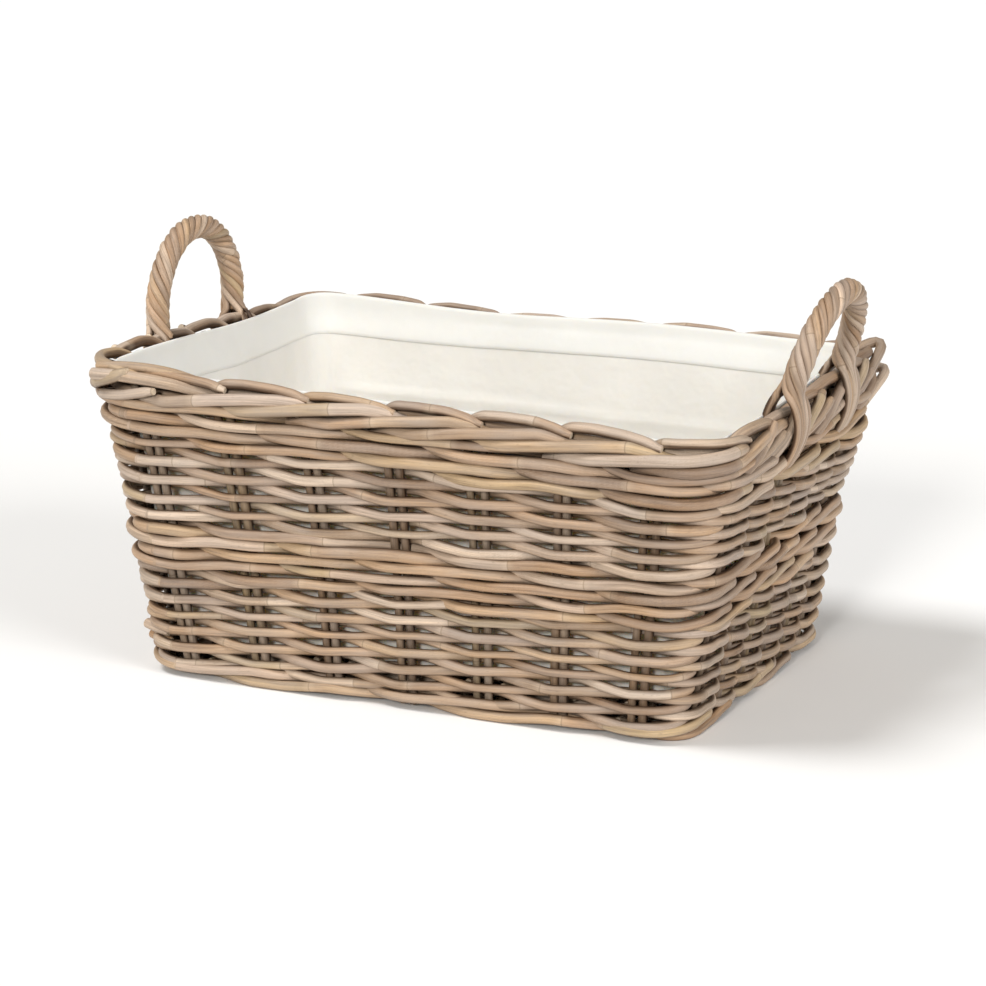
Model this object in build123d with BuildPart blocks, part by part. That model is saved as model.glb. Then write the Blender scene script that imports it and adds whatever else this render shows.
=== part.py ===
from build123d import *
import os

# Lined rattan log basket, millimetres, +Z up.
# Origin: on the floor, under the middle of the basket. X runs along the long side.
# Walls are stake pairs gripped between an outer and an inner rod in every row of weave.

# Driving dimensions of the stake layer, the middle of the wall
base_half_length = 241.5
base_half_width = 161.5
rim_half_length = 287.5
rim_half_width = 199.5
base_corner_radius = 22.5
rim_corner_radius = 39.5
rim_height = 270.0
wall_slope = (rim_half_length - base_half_length) / rim_height  # of the short sides

# Rods
stake_radius = 3.5
stake_pair_spacing = 8.3
long_side_pairs = 7
long_side_step = 0.28  # share of the side's half length
short_side_pairs = 6
short_side_step = 0.29
stake_foot = 2.0
stake_top = 257.5
fit_gap = 0.3  # between rods that lie against each other
corner_gap_angle = 0.6  # degrees, between rods that meet at a corner

# Woven bands: lowest height, highest height, rows, rod radius
bands = {
    "foot_wale": (0.6, 18.6, 2, 4.4),
    "lower_weave": (18.6, 98.6, 6, 4.5),
    "middle_wale": (98.6, 147.4, 5, 4.75),
    "upper_weave": (147.4, 214.4, 5, 4.5),
    "upper_wale": (214.4, 249.4, 3, 4.75),
}

# Border rods: distance outside the stake layer, height, radius
border_rods = {
    "outer": (10.0, 258.0, 6.0),
    "top": (6.0, 271.0, 6.0),
    "inner": (-5.8, 270.5, 5.5),
}

# Base
hoop_radius = 6.0
hoop_height = 5.0  # of the hoop's centre, so its underside is worn flat
hoop_corner_radius = 18.0
stick_radius = 4.5
stick_count = 7
stick_step = 0.28  # share of the base's half width
cane_radius = 3.5
cane_pitch = 16.0
lower_cane_count = 26
lower_cane_reach = 135.0  # from the middle to a cane's end
upper_cane_count = 27
upper_cane_reach = 149.0

# Handles
handle_half_span = 68.0
bow_radius = 3.5
bow_foot = 170.0
bow_shoulder = 296.0
wrap_radius = 11.0
wrap_foot = 260.0
wrap_bore_radius = bow_radius + fit_gap
border_gap_half_width = 13.0
tail_radius = 3.0
tail_spacing = 7.0
tails_per_leg = 4
tail_bend_radius = 8.0
tail_foot = 216.0  # lowest end, on the upper wale
tail_wale_top = 246.0  # where a tail leaves the wale for the border
tail_border_low = 253.0
tail_border_top = 268.0  # where it leaves the border for the rope
tail_top = 293.0

# Liner
cloth = 2.0
liner_offset = 14.2  # of its outer face, inside the stake layer
liner_bottom = 28.2
liner_top = 268.0
hem_depth = 34.0
hem_cloth = 1.5

# Each side of the basket: how far its plan is turned from the front
side_turns = {"front": 0, "right": 90, "back": 180, "left": 270}


def slope_at(low, high, height):
    """A size that grows evenly from the floor to the rim."""
    return low + (high - low) * height / rim_height


def half_length(height, offset=0.0):
    return slope_at(base_half_length, rim_half_length, height) + offset


def half_width(height, offset=0.0):
    return slope_at(base_half_width, rim_half_width, height) + offset


def corner_radius(height, offset=0.0):
    return slope_at(base_corner_radius, rim_corner_radius, height) + offset


def side_sizes(side, height, offset=0.0):
    """Half the side's own length, and its distance from the middle of the basket."""
    long_half = half_length(height, offset)
    short_half = half_width(height, offset)
    if side in ("front", "back"):
        return long_half, short_half
    return short_half, long_half


def side_plane(side, height):
    """Plan plane whose -Y points out of the named side."""
    return Plane.XY.offset(height).rotated((0, 0, side_turns[side]))


def section_plane(route):
    """Plane square to a route at its start."""
    wire = route.wire()
    return Plane(origin=wire @ 0, z_dir=wire % 0)


def add_rod(side, height, offset, radius):
    """One rod along a side, bent half way round the corner at each end."""
    along, out = side_sizes(side, height, offset)
    bend = corner_radius(height, offset)
    straight = along - bend
    turn = 45 - corner_gap_angle
    with BuildLine(side_plane(side, height)) as route:
        CenterArc((-straight, bend - out), bend, 270 - turn, turn)
        Line((-straight, -out), (straight, -out))
        CenterArc((straight, bend - out), bend, 270, turn)
    with BuildSketch(section_plane(route)) as section:
        Circle(radius)
    sweep(section.sketch, path=route.wire())


def add_straight_rod(start, end, radius):
    """One straight rod between two points."""
    run = Vector(*end) - Vector(*start)
    with BuildSketch(Plane(origin=start, z_dir=run)) as section:
        Circle(radius)
    extrude(section.sketch, amount=run.length)


def side_point(side, along, out, height):
    """A point given along a side and outwards from the middle, in the basket's frame."""
    return tuple(side_plane(side, height).from_local_coords(Vector(along, -out, 0)))


def finish(builder, name):
    builder.part.label = name
    export_step(builder.part, f"parts/{name}.step")


def make_stakes(side):
    """Pairs of upright rods that fan out with the side's slope."""
    long_side = side in ("front", "back")
    pairs = long_side_pairs if long_side else short_side_pairs
    step = long_side_step if long_side else short_side_step
    with BuildPart() as stakes:
        for pair in range(pairs):
            share = step * (pair - (pairs - 1) / 2)
            for place in (-0.5, 0.5):
                ends = []
                for height in (stake_foot, stake_top):
                    along, out = side_sizes(side, height)
                    across = share * along + place * stake_pair_spacing
                    ends.append(side_point(side, across, out, height))
                add_straight_rod(ends[0], ends[1], stake_radius)
    finish(stakes, f"{side}_stakes")


def make_band(side, band):
    """Rows of weave, each an outer and an inner rod gripping the stakes."""
    low, high, rows, radius = bands[band]
    grip = stake_radius + fit_gap + radius
    pitch = (high - low) / rows
    with BuildPart() as weave:
        for row in range(rows):
            height = low + pitch * (row + 0.5)
            for offset in (grip, -grip):
                add_rod(side, height, offset, radius)
    finish(weave, f"{side}_{band}")


def make_long_border(side):
    """Border rods that run the whole length of a long side."""
    with BuildPart() as border:
        for offset, height, radius in border_rods.values():
            add_rod(side, height, offset, radius)
    finish(border, f"{side}_border")


def make_short_border(side):
    """Border rods of a short side, which stop at each side of both handle legs."""
    with BuildPart() as border:
        for offset, height, radius in border_rods.values():
            add_rod(side, height, offset, radius)
        for leg in (-handle_half_span, handle_half_span):
            _, out = side_sizes(side, rim_height)
            with Locations(side_point(side, leg, out, rim_height)):
                Box(
                    4 * wrap_radius,
                    2 * border_gap_half_width,
                    4 * wrap_radius,
                    mode=Mode.SUBTRACT,
                )
    finish(border, f"{side}_border")


def make_base_hoop():
    """Closed hoop under the base, its underside worn flat where it stands."""
    inset = stake_radius + 2 * fit_gap + 2 * bands["foot_wale"][3] + hoop_radius
    length = 2 * half_length(hoop_height, -inset)
    width = 2 * half_width(hoop_height, -inset)
    straight_length = length / 2 - hoop_corner_radius
    straight_width = width / 2 - hoop_corner_radius
    with BuildPart() as hoop:
        with BuildLine(Plane.XY.offset(hoop_height)) as route:
            end = Line((-straight_length, -width / 2), (straight_length, -width / 2))
            for run in (2 * straight_width, 2 * straight_length, 2 * straight_width, 0):
                bend = JernArc(end @ 1, end % 1, hoop_corner_radius, 90)
                if run:
                    end = Line(bend @ 1, bend @ 1 + bend % 1 * run)
        with BuildSketch(Plane(origin=route.wire() @ 0, x_dir=(0, 0, 1), z_dir=(1, 0, 0))):
            Circle(hoop_radius)
            with Locations((-hoop_height - hoop_radius / 2, 0)):
                Rectangle(hoop_radius, 2 * hoop_radius, mode=Mode.SUBTRACT)
        sweep(path=route.wire())
    finish(hoop, "base_hoop")


def make_base_sticks():
    """Thick sticks along the base, lying on the hoop."""
    height = hoop_height + hoop_radius + fit_gap + stick_radius
    reach = half_length(height, -(stake_radius + 3 * fit_gap + 2 * bands["foot_wale"][3]))
    step = stick_step * half_width(height)
    with BuildPart() as sticks:
        for stick in range(stick_count):
            y = step * (stick - (stick_count - 1) / 2)
            add_straight_rod((-reach, y, height), (reach, y, height), stick_radius)
    finish(sticks, "base_sticks")


def make_base_canes(name, height, reach, count):
    """Canes across the base, above or below the sticks."""
    with BuildPart() as canes:
        with Locations(Location((0, 0, height), (90, 0, 0))):
            with GridLocations(cane_pitch, 1, count, 1):
                Cylinder(cane_radius, 2 * reach)
    finish(canes, name)


def handle_plane():
    """Plane of the right handle's bow, sloped like the wall, starting at the bow's foot."""
    foot = (half_length(bow_foot), 0, bow_foot)
    return Plane(origin=foot, x_dir=(0, 1, 0), z_dir=(1, 0, -wall_slope))


def bow_route(foot):
    """Inverted U from a given height: two legs and a half circle."""
    stretch = (1 + wall_slope**2) ** 0.5
    low = (foot - bow_foot) * stretch
    shoulder = (bow_shoulder - bow_foot) * stretch
    with BuildLine(handle_plane()) as route:
        Line((-handle_half_span, low), (-handle_half_span, shoulder))
        CenterArc((0, shoulder), handle_half_span, 180, -180)
        Line((handle_half_span, shoulder), (handle_half_span, low))
    return route


def both_handles(builder, name):
    """The right handle's piece as made, and the left one as its mirror image."""
    finish(builder, f"right_{name}")
    with BuildPart() as mirrored:
        mirror(builder.part, about=Plane.YZ)
    finish(mirrored, f"left_{name}")


def make_handle_bows():
    route = bow_route(bow_foot)
    with BuildPart() as bow:
        with BuildSketch(section_plane(route)):
            Circle(bow_radius)
        sweep(path=route.wire())
    both_handles(bow, "handle_bow")


def make_handle_wraps():
    """The rope of strands wound round the bow, as one sleeve of its outer size."""
    route = bow_route(wrap_foot)
    with BuildPart() as wrap:
        with BuildSketch(section_plane(route)):
            Circle(wrap_radius)
            Circle(wrap_bore_radius, mode=Mode.SUBTRACT)
        sweep(path=route.wire())
    both_handles(wrap, "handle_wrap")


def make_handle_tails():
    """Strand ends that run down over the border and tuck in at the upper wale."""
    wale_face = stake_radius + fit_gap + 2 * bands["upper_wale"][3]
    border_face = border_rods["outer"][0] + border_rods["outer"][2]
    low_offset = wale_face + fit_gap + tail_radius
    border_offset = border_face + fit_gap + tail_radius
    wrap_offset = wrap_radius + fit_gap + tail_radius
    profile = [
        (low_offset, tail_foot),
        (low_offset, tail_wale_top),
        (border_offset, tail_border_low),
        (border_offset, tail_border_top),
        (wrap_offset, tail_top),
    ]
    with BuildPart() as tails:
        for leg in (-handle_half_span, handle_half_span):
            for tail in range(tails_per_leg):
                y = leg + tail_spacing * (tail - (tails_per_leg - 1) / 2)
                points = [(half_length(height, offset), y, height) for offset, height in profile]
                with BuildLine() as route:
                    FilletPolyline(*points, radius=tail_bend_radius)
                with BuildSketch(section_plane(route)):
                    Circle(tail_radius)
                sweep(path=route.wire())
    both_handles(tails, "handle_tails")


def draw_strip(side, height, offset, thickness):
    """Plan of one side's cloth, half way round the corner at each end."""
    along, out = side_sizes(side, height, -offset)
    bend = corner_radius(height, -offset)
    straight = along - bend
    inner_bend = bend - thickness
    with BuildSketch(side_plane(side, height)) as strip:
        with BuildLine():
            outer_left = CenterArc((-straight, bend - out), bend, 225, 45)
            Line((-straight, -out), (straight, -out))
            outer_right = CenterArc((straight, bend - out), bend, 270, 45)
            inner_left = CenterArc((-straight, bend - out), inner_bend, 225, 45)
            Line((-straight, thickness - out), (straight, thickness - out))
            inner_right = CenterArc((straight, bend - out), inner_bend, 270, 45)
            Line(outer_left @ 0, inner_left @ 0)
            Line(outer_right @ 1, inner_right @ 1)
        make_face()
    return strip.sketch


def make_liner_panel(side):
    """One side of the liner, standing on its floor."""
    foot = draw_strip(side, liner_bottom + cloth, liner_offset, cloth)
    mouth = draw_strip(side, liner_top, liner_offset, cloth)
    with BuildPart() as panel:
        loft([foot, mouth], ruled=True)
    finish(panel, f"liner_{side}_panel")


def make_liner_floor():
    length = 2 * half_length(liner_bottom, -liner_offset)
    width = 2 * half_width(liner_bottom, -liner_offset)
    with BuildPart() as floor:
        with BuildSketch(Plane.XY.offset(liner_bottom)):
            RectangleRounded(length, width, corner_radius(liner_bottom, -liner_offset))
        extrude(amount=cloth)
    finish(floor, "liner_floor")


def make_liner_hem():
    """Facing turned down inside the liner's mouth."""
    inset = liner_offset + cloth
    low = liner_top - hem_depth
    with BuildPart() as hem:
        for skin, mode in ((0.0, Mode.ADD), (hem_cloth, Mode.SUBTRACT)):
            for level in (low, liner_top):
                with BuildSketch(Plane.XY.offset(level)):
                    RectangleRounded(
                        2 * half_length(level, -inset - skin),
                        2 * half_width(level, -inset - skin),
                        corner_radius(level, -inset - skin),
                    )
            loft(ruled=True, mode=mode)
    finish(hem, "liner_hem")


os.makedirs("parts", exist_ok=True)

make_base_hoop()
make_base_sticks()
stick_height = hoop_height + hoop_radius + fit_gap + stick_radius
cane_rise = stick_radius + fit_gap + cane_radius
make_base_canes("base_lower_canes", stick_height - cane_rise, lower_cane_reach, lower_cane_count)
make_base_canes("base_upper_canes", stick_height + cane_rise, upper_cane_reach, upper_cane_count)

for side in side_turns:
    make_stakes(side)
    for band in bands:
        make_band(side, band)
    make_liner_panel(side)

for side in ("front", "back"):
    make_long_border(side)
for side in ("left", "right"):
    make_short_border(side)

make_handle_bows()
make_handle_wraps()
make_handle_tails()
make_liner_floor()
make_liner_hem()
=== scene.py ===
"""Looks of the lined rattan log basket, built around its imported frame.

Shapes are worked out in millimetres and written to meshes in metres, in the frame's axes:
X along the long side, Y from front to back, +Z up.
"""

import math
import random

import bpy
import numpy as np
from mathutils import Matrix, Vector


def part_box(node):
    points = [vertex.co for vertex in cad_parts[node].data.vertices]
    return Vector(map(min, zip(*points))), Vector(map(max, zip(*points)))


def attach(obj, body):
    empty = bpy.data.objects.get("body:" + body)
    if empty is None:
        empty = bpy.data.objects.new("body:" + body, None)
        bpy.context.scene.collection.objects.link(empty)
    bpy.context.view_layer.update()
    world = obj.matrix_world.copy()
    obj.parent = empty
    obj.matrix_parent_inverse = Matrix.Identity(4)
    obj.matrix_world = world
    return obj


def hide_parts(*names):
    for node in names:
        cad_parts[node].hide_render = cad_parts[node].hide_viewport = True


MM = 0.001

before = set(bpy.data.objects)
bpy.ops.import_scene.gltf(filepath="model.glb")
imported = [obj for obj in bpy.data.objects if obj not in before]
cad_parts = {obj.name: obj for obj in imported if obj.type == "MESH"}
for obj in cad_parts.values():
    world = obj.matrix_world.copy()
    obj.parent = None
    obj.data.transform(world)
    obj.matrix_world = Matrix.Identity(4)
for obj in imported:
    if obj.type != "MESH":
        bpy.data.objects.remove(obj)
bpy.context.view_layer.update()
rng = random.Random(71)

# ---------------------------------------------------------------- driving sizes, millimetres

# Stake layer, the middle of the wall, as in the frame
BASE_HALF_LENGTH, BASE_HALF_WIDTH, BASE_CORNER = 241.5, 161.5, 22.5
RIM_HALF_LENGTH, RIM_HALF_WIDTH, RIM_CORNER = 287.5, 199.5, 39.5
RIM_HEIGHT = 270.0
MID_SHARE = 0.5  # share of the rim's height where ways round the wall are measured

LONG_PAIRS, LONG_STEP = 7, 0.317  # stake pairs, and their step as a share of the straight half side
SHORT_PAIRS, SHORT_STEP = 6, 0.35
STAKE_RADIUS = 3.6
STAKE_SPACING = 9.8  # between the two stakes of a pair
STAKE_LOW, STAKE_HIGH = 3, 257

RIM_TILT = 0.034  # drop of the front rim, as a share of the distance to the right
SIDE_SAG = 18.0  # how far the top of the upper field sinks at the back of the right side
BACK_LEVELS = (3.0, -3.0)  # the back rim, at its left end and right of its middle

# Woven bands: height of the lowest strand, step between strands, strands, strand radius
FOOT_WALE = (5.6, 6.4, 2, 4.7)
LOWER_FIELD = (14.5, 7.45, 12, 4.1)
MIDDLE_WALE = (102.4, 6.9, 7, 4.8)
UPPER_FIELD = (151.5, 7.5, 9, 4.1)
UPPER_WALE = (217.6, 6.7, 5, 4.7)

RING = 12  # corners of a strand's section
STEP = 5.0  # between a strand's sections


def between(low, high, share):
    return low + (high - low) * share


# ---------------------------------------------------------------- the wall's outline

MID_STRAIGHT_LONG = between(BASE_HALF_LENGTH - BASE_CORNER, RIM_HALF_LENGTH - RIM_CORNER, MID_SHARE)
MID_STRAIGHT_SHORT = between(BASE_HALF_WIDTH - BASE_CORNER, RIM_HALF_WIDTH - RIM_CORNER, MID_SHARE)
MID_ARC = math.pi / 2 * between(BASE_CORNER, RIM_CORNER, MID_SHARE)
STRETCHES = [2 * MID_STRAIGHT_LONG, MID_ARC, 2 * MID_STRAIGHT_SHORT, MID_ARC] * 2
STARTS = np.concatenate([[0.0], np.cumsum(STRETCHES)])
LOOP = float(STARTS[-1])


def eased(value, low, high):
    share = np.clip((value - low) / (high - low), 0, 1)
    return share * share * (3 - 2 * share)


def warp(points):
    """The hand-made unevenness that every piece of the basket shares."""
    x, y, z = points[:, 0], points[:, 1], points[:, 2]
    rise = z / RIM_HEIGHT
    out = points.copy()
    out[:, 0] += 1.5 * rise * np.sin(y / 70.0 + 0.6) + 1.2 * np.sin(z / 45.0 + y / 90.0)
    out[:, 1] += 2.0 * rise * np.sin(x / 95.0 + 0.3) + 1.2 * np.sin(z / 50.0 + x / 110.0)
    out[:, 2] += rise * (1.2 * np.sin(x / 75.0 + 1.0) + 1.5 * np.sin(y / 60.0 - x / 260.0))
    # The rim runs out of level: high at the front left, low at the front right
    front = eased(-y, -120, 160)
    out[:, 2] -= front * RIM_TILT * x * eased(z, 148, 225)
    # On the right side the top of the upper field sinks towards the back
    right = eased(x, 200, 290) * eased(y, -190, 150)
    out[:, 2] -= right * SIDE_SAG * eased(z, 150, 212) * (1 - eased(z, 216, 262))
    back = eased(y, 150, 195) * eased(z, 255, 268)
    out[:, 2] += back * between(*BACK_LEVELS, eased(x, -240, -40))
    return out


def outline(way, offset, height):
    """Points on the wall. way runs round it at mid height, from the left end of the front side."""
    way, offset, height = np.broadcast_arrays(np.mod(way, LOOP), offset, height)
    share = height / RIM_HEIGHT
    bend = between(BASE_CORNER, RIM_CORNER, share)
    along = between(BASE_HALF_LENGTH, RIM_HALF_LENGTH, share) - bend
    across = between(BASE_HALF_WIDTH, RIM_HALF_WIDTH, share) - bend
    radius = bend + offset
    stretch = np.clip(np.searchsorted(STARTS, way, side="right") - 1, 0, 7)
    part = (way - STARTS[stretch]) / np.array(STRETCHES)[stretch]
    quarter = stretch // 2  # 0 front, 1 right, 2 back, 3 left
    turn = np.where(stretch % 2 == 1, part, 0.0)
    angle = (quarter - 1 + turn) * math.pi / 2
    slide = np.where(stretch % 2 == 1, 1.0, 2 * part - 1)
    corner_x = np.choose(quarter, [slide * along, along, -slide * along, -along])
    corner_y = np.choose(quarter, [-across, slide * across, across, -slide * across])
    x = corner_x + radius * np.cos(angle)
    y = corner_y + radius * np.sin(angle)
    return np.stack([x, y, height], axis=1)


def stations():
    """Where the middles of the stake pairs stand, along the way round."""
    found = []
    for side in range(4):
        long_side = side % 2 == 0
        pairs, step = (LONG_PAIRS, LONG_STEP) if long_side else (SHORT_PAIRS, SHORT_STEP)
        half = MID_STRAIGHT_LONG if long_side else MID_STRAIGHT_SHORT
        middle = STARTS[2 * side] + half
        found += [middle + half * step * (pair - (pairs - 1) / 2) for pair in range(pairs)]
    return np.array(found)


STATIONS = stations()


def gap_shares(way):
    """The stake pair before each way, how far it is to the next one, and the distance between them."""
    way = np.mod(way - STATIONS[0], LOOP) + STATIONS[0]
    ends = np.append(STATIONS, STATIONS[0] + LOOP)
    before = np.clip(np.searchsorted(ends, way, side="right") - 1, 0, len(STATIONS) - 1)
    gap = ends[before + 1] - ends[before]
    return before, (way - ends[before]) / gap, gap


def passing(way, states, flat=9.0):
    """Smooth change of a value given at each stake pair, flat across the pair itself."""
    before, share, gap = gap_shares(way)
    share = np.clip((share * gap - flat) / (gap - 2 * flat), 0, 1)
    states = np.asarray(states)
    after = np.roll(states, -1)
    return states[before] + (after[before] - states[before]) * share * share * (3 - 2 * share)


def wobble(way, size, seed, waves=5):
    """Slow, seeded unevenness that closes on itself round the basket."""
    draw = random.Random(seed)
    total = np.zeros_like(way)
    for _ in range(waves):
        turns = draw.randint(3, 30)
        total += draw.uniform(0.4, 1.0) * np.sin(2 * math.pi * turns * way / LOOP + draw.uniform(0, 6.3))
    return total * size / waves ** 0.5


# ---------------------------------------------------------------- strands as meshes


def carried_frames(path, tangents):
    """Section directions carried along a path without twisting."""
    first = np.cross(tangents[0], (0.31, 0.92, 0.24))
    sides = [first / np.linalg.norm(first)]
    for tangent in tangents[1:]:
        side = sides[-1] - tangent * np.dot(sides[-1], tangent)
        sides.append(side / np.linalg.norm(side))
    return np.array(sides)


class Strands:
    """Round rods gathered into one mesh, with the shader's own coordinates on each corner."""

    def __init__(self):
        self.points, self.grain, self.tints, self.cuts, self.open = [], [], [], [], []
        self.quads, self.caps = [], []
        self.count = 0

    def add(self, path, radius, closed=False, upright=False, flatten=1.0, tint=None, facing=None):
        """One rod along a path. upright keeps its section square to +Z.

        facing, a direction at each point, is where the rod is free: away from it the rod lies against
        its neighbours and gets painted shade, a darkening that stands in for the shade between rods.
        Upright rods are free on both faces of the wall and get painted shade on their top and bottom. flatten
        is the section's size across the free direction, as a share of the radius.
        """
        path = np.asarray(path, float)
        number = len(path)
        if closed:
            tangents = np.roll(path, -1, axis=0) - np.roll(path, 1, axis=0)
        else:
            tangents = np.gradient(path, axis=0)
        tangents /= np.linalg.norm(tangents, axis=1)[:, None]
        if upright:
            sides = np.cross(tangents, (0, 0, 1.0))
            sides /= np.linalg.norm(sides, axis=1)[:, None]
        elif facing is not None:
            sides = facing - tangents * np.einsum("ij,ij->i", facing, tangents)[:, None]
            sides /= np.linalg.norm(sides, axis=1)[:, None]
        else:
            sides = carried_frames(path, tangents)
        rises = np.cross(sides, tangents)
        angles = np.arange(RING) * 2 * math.pi / RING
        radius = np.broadcast_to(radius, number)
        tall = radius * flatten
        section = (
            path[:, None]
            + sides[:, None] * (radius[:, None] * np.cos(angles))[..., None]
            + rises[:, None] * (tall[:, None] * np.sin(angles))[..., None]
        )
        lengths = np.concatenate([[0], np.cumsum(np.linalg.norm(np.diff(path, axis=0), axis=1))])
        start = rng.uniform(0, 4000)
        spin = rng.uniform(0, 6.3)
        grain = np.empty((number, RING, 3))
        grain[..., 0] = radius[:, None] * np.cos(angles + spin)
        grain[..., 1] = radius[:, None] * np.sin(angles + spin)
        grain[..., 2] = (lengths + start)[:, None]
        tint = rng.random() if tint is None else tint
        tints = np.broadcast_to(tint, number)
        if facing is not None:
            free = np.broadcast_to(np.clip(0.25 + 0.95 * np.cos(angles), 0, 1), (number, RING))
        elif upright:
            free = np.broadcast_to(np.abs(np.cos(angles)), (number, RING))
        else:
            free = np.ones((number, RING))
        self.points.append(section.reshape(-1, 3))
        self.grain.append(grain.reshape(-1, 3))
        self.tints.append(np.repeat(tints, RING))
        self.cuts.append(np.zeros(number * RING))
        self.open.append(free.ravel())
        rows = np.arange(number if closed else number - 1)
        following = (rows + 1) % number
        here = self.count + rows[:, None] * RING
        there = self.count + following[:, None] * RING
        columns = np.arange(RING)
        beside = (columns + 1) % RING
        self.quads.append(
            np.stack([here + columns, there + columns, there + beside, here + beside], axis=2).reshape(-1, 4)
        )
        self.count += number * RING
        if not closed:
            self.cap(section[0], path[0], -tangents[0], grain[0], tints[0], first=True)
            self.cap(section[-1], path[-1], tangents[-1], grain[-1], tints[-1], first=False)

    def cap(self, ring, middle, outwards, grain, tint, first):
        """A cut end: a small rounded edge and a pale flat face."""
        size = np.linalg.norm(ring[0] - middle)
        edge = middle + (ring - middle) * 0.86 + outwards * size * 0.16
        face = edge.copy()
        self.points += [ring, edge, face]
        self.grain += [grain, grain, grain]
        self.tints += [np.full(RING, tint)] * 3
        self.cuts += [np.zeros(RING), np.zeros(RING), np.ones(RING)]
        self.open.append(np.ones(3 * RING))
        columns = np.arange(RING)
        beside = (columns + 1) % RING
        low, high = self.count + columns, self.count + RING + columns
        low_next, high_next = self.count + beside, self.count + RING + beside
        if first:
            self.quads.append(np.stack([high, low, low_next, high_next], axis=1))
            self.caps.append(self.count + 2 * RING + columns)
        else:
            self.quads.append(np.stack([low, high, high_next, low_next], axis=1))
            self.caps.append(self.count + 2 * RING + columns[::-1])
        self.count += 3 * RING

    def build(self, name, material):
        points = np.concatenate(self.points) * MM
        quads = np.concatenate(self.quads)
        corners = np.concatenate([quads.ravel(), *self.caps]) if self.caps else quads.ravel()
        totals = np.concatenate([np.full(len(quads), 4), np.full(len(self.caps), RING)]).astype(np.int32)
        mesh = bpy.data.meshes.new(name)
        mesh.vertices.add(len(points))
        mesh.vertices.foreach_set("co", points.ravel())
        mesh.loops.add(len(corners))
        mesh.loops.foreach_set("vertex_index", corners.astype(np.int32))
        mesh.polygons.add(len(totals))
        starts = np.concatenate([[0], np.cumsum(totals)[:-1]]).astype(np.int32)
        mesh.polygons.foreach_set("loop_start", starts)
        mesh.polygons.foreach_set("loop_total", totals)
        mesh.polygons.foreach_set("use_smooth", totals == 4)
        for label, kind, values in (
            ("grain", "FLOAT_VECTOR", np.concatenate(self.grain)),
            ("tint", "FLOAT", np.concatenate(self.tints)),
            ("cut", "FLOAT", np.concatenate(self.cuts)),
            ("open", "FLOAT", np.concatenate(self.open)),
        ):
            layer = mesh.attributes.new(label, kind, "POINT")
            layer.data.foreach_set("vector" if kind == "FLOAT_VECTOR" else "value", values.ravel())
        mesh.update(calc_edges=True)
        mesh.validate()
        mesh.materials.append(material)
        piece = bpy.data.objects.new(name, mesh)
        bpy.context.scene.collection.objects.link(piece)
        return piece


def smooth_run(controls, spread=14.0):
    """A path through (way, offset, height) controls, with its corners eased over spread."""
    controls = np.array(controls, float)
    ways = np.arange(controls[0, 0], controls[-1, 0] + STEP / 2, STEP / 2)
    half = max(1, int(spread / STEP))
    kernel = np.hanning(4 * half + 3)[1:-1]
    kernel /= kernel.sum()
    settled = []
    for column in (1, 2):
        values = np.interp(ways, controls[:, 0], controls[:, column])
        padded = np.pad(values, len(kernel) // 2, mode="edge")
        settled.append(np.convolve(padded, kernel, mode="valid"))
    return ways, settled[0], settled[1]


# ---------------------------------------------------------------- materials


def nodes_of(name):
    material = bpy.data.materials.new(name)
    material.use_nodes = True
    tree = material.node_tree
    tree.nodes.clear()
    output = tree.nodes.new("ShaderNodeOutputMaterial")
    shader = tree.nodes.new("ShaderNodeBsdfPrincipled")
    tree.links.new(shader.outputs[0], output.inputs[0])
    return material, tree, shader


def add_node(tree, kind, inputs=None, **settings):
    """A shader node with its settings, and its inputs as constants or linked sockets."""
    node = tree.nodes.new(kind)
    for key, value in settings.items():
        setattr(node, key, value)
    for key, value in (inputs or {}).items():
        if isinstance(value, bpy.types.NodeSocket):
            tree.links.new(value, node.inputs[key])
        else:
            node.inputs[key].default_value = value
    return node


def maths(tree, operation, first, second=0.0, third=0.0, clamp=False):
    node = add_node(tree, "ShaderNodeMath", {0: first, 1: second, 2: third}, operation=operation)
    node.use_clamp = clamp
    return node.outputs[0]


def mix(tree, factor, first, second, blend="MIX"):
    node = tree.nodes.new("ShaderNodeMix")
    node.data_type = "RGBA"
    node.blend_type = blend
    for key, value in ((0, factor), (6, first), (7, second)):
        if isinstance(value, bpy.types.NodeSocket):
            tree.links.new(value, node.inputs[key])
        else:
            node.inputs[key].default_value = value
    return node.outputs[2]


def ramp(tree, factor, stops):
    node = tree.nodes.new("ShaderNodeValToRGB")
    tree.links.new(factor, node.inputs[0])
    elements = node.color_ramp.elements
    while len(elements) < len(stops):
        elements.new(0.5)
    for element, (place, colour) in zip(elements, stops):
        element.position = place
        element.color = (*colour, 1.0)
    return node.outputs[0]


# Peeled rattan's colours from rod to rod, and the weathering that tints them all
RATTAN_COLOURS = [
    (0.00, (0.200, 0.132, 0.086)),
    (0.14, (0.410, 0.280, 0.176)),
    (0.28, (0.330, 0.254, 0.200)),
    (0.42, (0.600, 0.500, 0.405)),
    (0.56, (0.300, 0.205, 0.125)),
    (0.68, (0.520, 0.425, 0.355)),
    (0.80, (0.400, 0.312, 0.190)),
    (0.90, (0.445, 0.318, 0.206)),
    (1.00, (0.340, 0.225, 0.140)),
]
WEATHERING = (0.95, 0.91, 0.87)
PALETTE = [(place, tuple(np.multiply(colour, WEATHERING))) for place, colour in RATTAN_COLOURS]
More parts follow.
